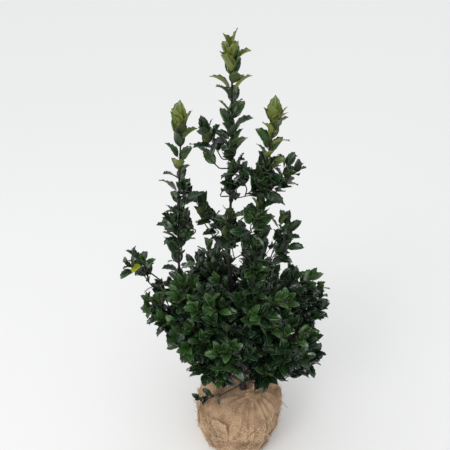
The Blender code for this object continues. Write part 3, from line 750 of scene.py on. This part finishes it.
def ball():
    course = smooth_course([(0.0, h, rr) for h, rr in PROFILE], 14)
    h, rad = course[:, 1], course[:, 2]
    h[h < 0] = 0
    arc = np.concatenate(([0], np.cumsum(np.hypot(np.diff(h), np.diff(rad)))))
    seg = 320
    ang = np.arange(seg) / seg * 2 * math.pi
    A, H = np.meshgrid(ang, h)
    _, R = np.meshgrid(ang, rad)
    _, S = np.meshgrid(ang, arc)
    strength = np.clip(H / 0.06, 0, 1)
    factor = 1 + strength * sum(d * np.sin(l * A + t) for l, d, t in LOBES)
    lift = 0.007 * np.sin(A - 0.4) * np.clip(H / 0.15, 0, 1) * np.clip((R - 0.033) / 0.025, 0, 1)
    toward = np.clip((0.06 - R) / 0.05, 0, 1) * (H > 0.1)
    X = R * factor * np.cos(A) + FOOT[0] * toward
    Y = R * factor * np.sin(A) + FOOT[1] * toward
    Z = H + lift
    # wrinkles: long low ridges of pulled cloth, in the surface's own metres
    U, V = A * 0.105, S
    top = float(arc[-1])
    nx = np.cos(A)
    ny = np.sin(A)
    slope = np.gradient(R, axis=0)
    rise_ = np.gradient(H, axis=0)
    norm = np.hypot(slope, rise_) + 1e-9
    NX, NY, NZ = nx * rise_ / norm, ny * rise_ / norm, -slope / norm
    fade = np.clip(H / 0.012, 0, 1)
    D = np.zeros_like(X)
    own = random.Random(90)
    P3 = np.stack((X, Y, Z), axis=-1)

    flat3 = P3.reshape(-1, 3)

    def ridge(a, b, wide, high):
        """A fold along the surface from near a to near b."""
        a, b = np.asarray(a), np.asarray(b)
        marks = []
        for f in np.linspace(0, 1, 6):
            want = a + (b - a) * f
            marks.append(flat3[int(np.argmin(np.sum((flat3 - want) ** 2, axis=1)))])
        out = np.zeros(len(flat3))
        for j in range(5):
            p, q = marks[j], marks[j + 1]
            pq = q - p
            if pq @ pq < 1e-8:
                continue
            t = np.clip(((flat3 - p) @ pq) / (pq @ pq), 0, 1)
            d2 = np.sum((flat3 - (p + t[:, None] * pq)) ** 2, axis=1)
            along = (j + t) / 5
            out = np.maximum(out, np.exp(-d2 / wide ** 2) * (0.30 + 0.70 * np.sin(np.clip(along, 0.02, 0.98) * math.pi) ** 0.5))
        return (high * out).reshape(X.shape)

    def on_ball(az, z, out=0.0):
        az = math.radians(az)
        rr = float(np.interp(z, h[:100], rad[:100])) + out
        return np.array((rr * math.cos(az), rr * math.sin(az), z))

    # folds that radiate from the gathered knot
    for az, z in ((250, 0.120), (268, 0.060), (285, 0.100), (300, 0.040), (316, 0.110), (334, 0.060), (352, 0.120),
                  (12, 0.140), (40, 0.150), (70, 0.160), (232, 0.150), (214, 0.166)):
        end = on_ball(az, z)
        mid = (KNOT + end) / 2 + np.array((0, 0, 0.02))
        high = own.uniform(0.0050, 0.0085)
        D += ridge(KNOT, mid, 0.0046, high) + ridge(mid, end, 0.0054, high * 0.8)
    # pulled wrinkles down and across the sides
    for _ in range(64):
        az, z = own.uniform(0, 360), own.uniform(0.02, 0.165)
        daz, dz = own.uniform(-34, 34), own.uniform(-0.075, 0.05)
        high = own.choice((1, 1, -1)) * own.uniform(0.0022, 0.0052)
        a, b = on_ball(az, z), on_ball(az + daz, min(0.17, max(0.004, z + dz)))
        D += ridge(a, b, own.uniform(0.0035, 0.0065), high)
    # dark hollow under the knot, the pocket left of it and the ridge between
    D -= ridge((0.028, -0.078, 0.172), (0.030, -0.100, 0.148), 0.0115, 0.0150)
    D -= ridge((-0.030, -0.070, 0.174), (-0.042, -0.092, 0.152), 0.015, 0.0100)
    D += ridge((0.022, -0.050, 0.180), (-0.020, -0.108, 0.120), 0.0060, 0.0105)
    D -= ridge((-0.018, -0.110, 0.132), (0.006, -0.110, 0.126), 0.0060, 0.0090)
    # slow unevenness of the soil inside
    lumpy = np.array([noise.noise(Vector((x * 22, y * 22, z * 22))) for x, y, z in P3.reshape(-1, 3)]).reshape(D.shape)
    fine = np.array([noise.noise(Vector((x * 95, y * 95, z * 95))) for x, y, z in P3.reshape(-1, 3)]).reshape(D.shape)
    D += 0.0024 * lumpy + 0.0008 * fine
    D *= fade * np.clip((R - 0.008) / 0.02, 0.25, 1)
    X, Y, Z = X + D * NX, Y + D * NY, np.maximum(0.0, Z + D * NZ)
    verts = np.stack((X, Y, Z), axis=-1).reshape(-1, 3)
    rows = len(h)
    i, k = np.meshgrid(np.arange(rows - 1), np.arange(seg), indexing="ij")
    n = (k + 1) % seg
    quads = np.stack((i * seg + k, i * seg + n, (i + 1) * seg + n, (i + 1) * seg + k), axis=-1).reshape(-1, 4)
    b = Builder()
    low_centre, top_centre = len(verts), len(verts) + 1
    verts = np.concatenate((verts, [[0, 0, 0.0], [FOOT[0], FOOT[1], 0.189]]))
    b.add(verts, quads, 0)
    ks = np.arange(seg)
    b.f.append(np.stack((np.full(seg, low_centre), (ks + 1) % seg, ks), axis=-1))
    b.f.append(np.stack((np.full(seg, top_centre), (rows - 1) * seg + ks, (rows - 1) * seg + (ks + 1) % seg), axis=-1))
    b.m += [np.zeros(seg, np.int32)] * 2
    uv = np.concatenate((np.stack((U, V), axis=-1).reshape(-1, 2), [[0.3, 0.0], [0.3, top]]))
    return b, uv


ball_builder, ball_uv = ball()
wrapped = ball_builder.make("wrapped_ball", [HESSIAN], uv=ball_uv)
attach(wrapped, "root")
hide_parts("root_ball")


def gathered(name, centre, sizes, pleats, seed, lean):
    """A gathered bunch of cloth: pleats that run in to a puckered middle."""
    rows, cols = 46, 96
    b = Builder()
    verts, uv = [], []
    for i in range(rows):
        th = math.pi * i / (rows - 1)
        for k in range(cols):
            ph = 2 * math.pi * k / cols
            way = Vector((math.sin(th) * math.cos(ph), math.sin(th) * math.sin(ph), math.cos(th)))
            rim = math.sin(th) ** 1.5
            pleat = 0.20 * rim * abs(math.sin(pleats * ph / 2 + 1.7 * noise.noise(way * 1.5 + Vector((seed, 0, 0)))))
            size = 0.86 + pleat + 0.22 * noise.noise(way * 2.1 + Vector((seed, 3, 1)))
            pucker = 0.35 * math.exp(-(th / 0.35) ** 2)
            p = Vector((way.x * sizes[0] * size, way.y * sizes[1] * size, way.z * sizes[2] * (size - pucker)))
            p.x += lean[0] * p.z
            p.y += lean[1] * p.z
            verts.append(tuple(Vector(centre) + p))
            uv.append((ph * sizes[0], th * sizes[2] * 1.2))
    i, k = np.meshgrid(np.arange(rows - 1), np.arange(cols), indexing="ij")
    n = (k + 1) % cols
    quads = np.stack((i * cols + k, (i + 1) * cols + k, (i + 1) * cols + n, i * cols + n), axis=-1).reshape(-1, 4)
    b.add(verts, quads, 0)
    made = b.make(name, [HESSIAN], uv=np.array(uv))
    bm = bmesh.new()
    bm.from_mesh(made.data)
    bmesh.ops.remove_doubles(bm, verts=bm.verts[:], dist=0.00002)
    bm.to_mesh(made.data)
    bm.free()
    return made


knot = gathered("gathered_neck", (0.041, -0.026, 0.184), (0.024, 0.018, 0.017), 11, 2.0, (0.3, -0.25))
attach(knot, "root")
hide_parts("hessian_neck")


def corner():
    """The turned-back corner of the cloth: a curled, frayed flap with thickness."""
    rows, cols = 22, 34
    b = Builder()
    top, uv = [], []
    own = random.Random(12)
    ragged = [own.uniform(-0.0022, 0.0022) for _ in range(cols)]
    for i in range(rows):
        v = i / (rows - 1)
        for k in range(cols):
            u = k / (cols - 1)
            az = math.radians(252 - 24 * u + 3 * math.sin(v * 4))
            z = 0.162 - 0.036 * v * (1 - 0.35 * u) + (ragged[k] if i == rows - 1 else ragged[k] * v * 0.5)
            rr = 0.1005 + 0.0085 * math.sin(math.pi * min(1, v * 1.1)) + 0.005 * v + 0.0016 * math.sin(9 * u + 5 * v)
            rr += 0.0035 * max(0, v - 0.7) / 0.3
            top.append((rr * math.cos(az) - 0.001, rr * math.sin(az), z))
            uv.append((0.03 * u, 0.04 * v))
    top = np.array(top)
    grid = np.arange(rows * cols).reshape(rows, cols)
    inward = -np.array(top) * np.array((1, 1, 0))
    inward /= np.linalg.norm(inward, axis=1)[:, None]
    low = top + inward * 0.0011
    off = len(top)
    quads = []
    for i in range(rows - 1):
        for k in range(cols - 1):
            a, bb, c, d = grid[i, k], grid[i, k + 1], grid[i + 1, k + 1], grid[i + 1, k]
            quads.append((a, bb, c, d))
            quads.append((a + off, d + off, c + off, bb + off))
    rim = [*grid[0, :], *grid[1:, -1], *grid[-1, -2::-1], *grid[-2:0:-1, 0]]
    for p, q in zip(rim, rim[1:] + rim[:1]):
        quads.append((q, p, p + off, q + off))
    b.add(np.concatenate((top, low)), quads, 0)
    return b.make("turned_corner", [HESSIAN], uv=np.concatenate((uv, uv)))


flap = corner()
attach(flap, "root")
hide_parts("hessian_corner")

# loose jute fibres on the cloth and along its edges
fibre_mat = plain("jute_fibre", (0.74, 0.57, 0.39), 0.9, spec=0.1)
fibres = Builder()
own = random.Random(31)
ball_tree = BVHTree.FromObject(wrapped, bpy.context.evaluated_depsgraph_get())
for k in range(900):
    az = math.radians(own.uniform(0, 360))
    if k < 40:
        start = Vector((math.cos(math.radians(own.uniform(228, 252))) * 0.112,
                        math.sin(math.radians(own.uniform(228, 252))) * 0.112, own.uniform(0.125, 0.14)))
    else:
        start = Vector((math.cos(az) * 0.13, math.sin(az) * 0.13, own.uniform(0.006, 0.175)))
    hit = ball_tree.find_nearest(start)
    p, out = hit[0], hit[1]
    way = Vector((own.gauss(0, 1), own.gauss(0, 1), own.gauss(0, 0.8))).normalized()
    way = (way - out * way.dot(out)).normalized()
    line = []
    length = own.uniform(0.006, 0.026)
    for j in range(7):
        s_ = j / 6
        q = p + way * length * s_ + out * (0.0004 + (0.0035 if k % 5 == 0 else 0.0008) * s_ * own.uniform(0.2, 1.0)) - Vector((0, 0, 0.15)) * length * s_ * s_
        q.z = max(q.z, 0.0012)
        line.append(np.array(q))
    tube(fibres, line, [0.00040] * 7, 4, mat=0 if k % 3 else 1)
loose = fibres.make("jute_fibres", [fibre_mat, plain("jute_fibre_dark", (0.20, 0.125, 0.07), 0.9, spec=0.1)])
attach(loose, "root")

# ------------------------------------------------------------------ joined pieces
limbs = wood.make("bark_limbs", [BARK])
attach(limbs, "root")
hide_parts("trunk", "leader_left", "leader_right", *[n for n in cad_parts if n.startswith("bough_")])
fine_twigs = twigs.make("twigs", [TWIG, GREEN_TWIG])
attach(fine_twigs, "root")
stalks = petioles.make("leaf_stalks", [TWIG, GREEN_TWIG])
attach(stalks, "root")
pieces = make_leaves()
for name in masses:
    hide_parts(name)

print("leaves", len(leaves), "shoots", len(targets))
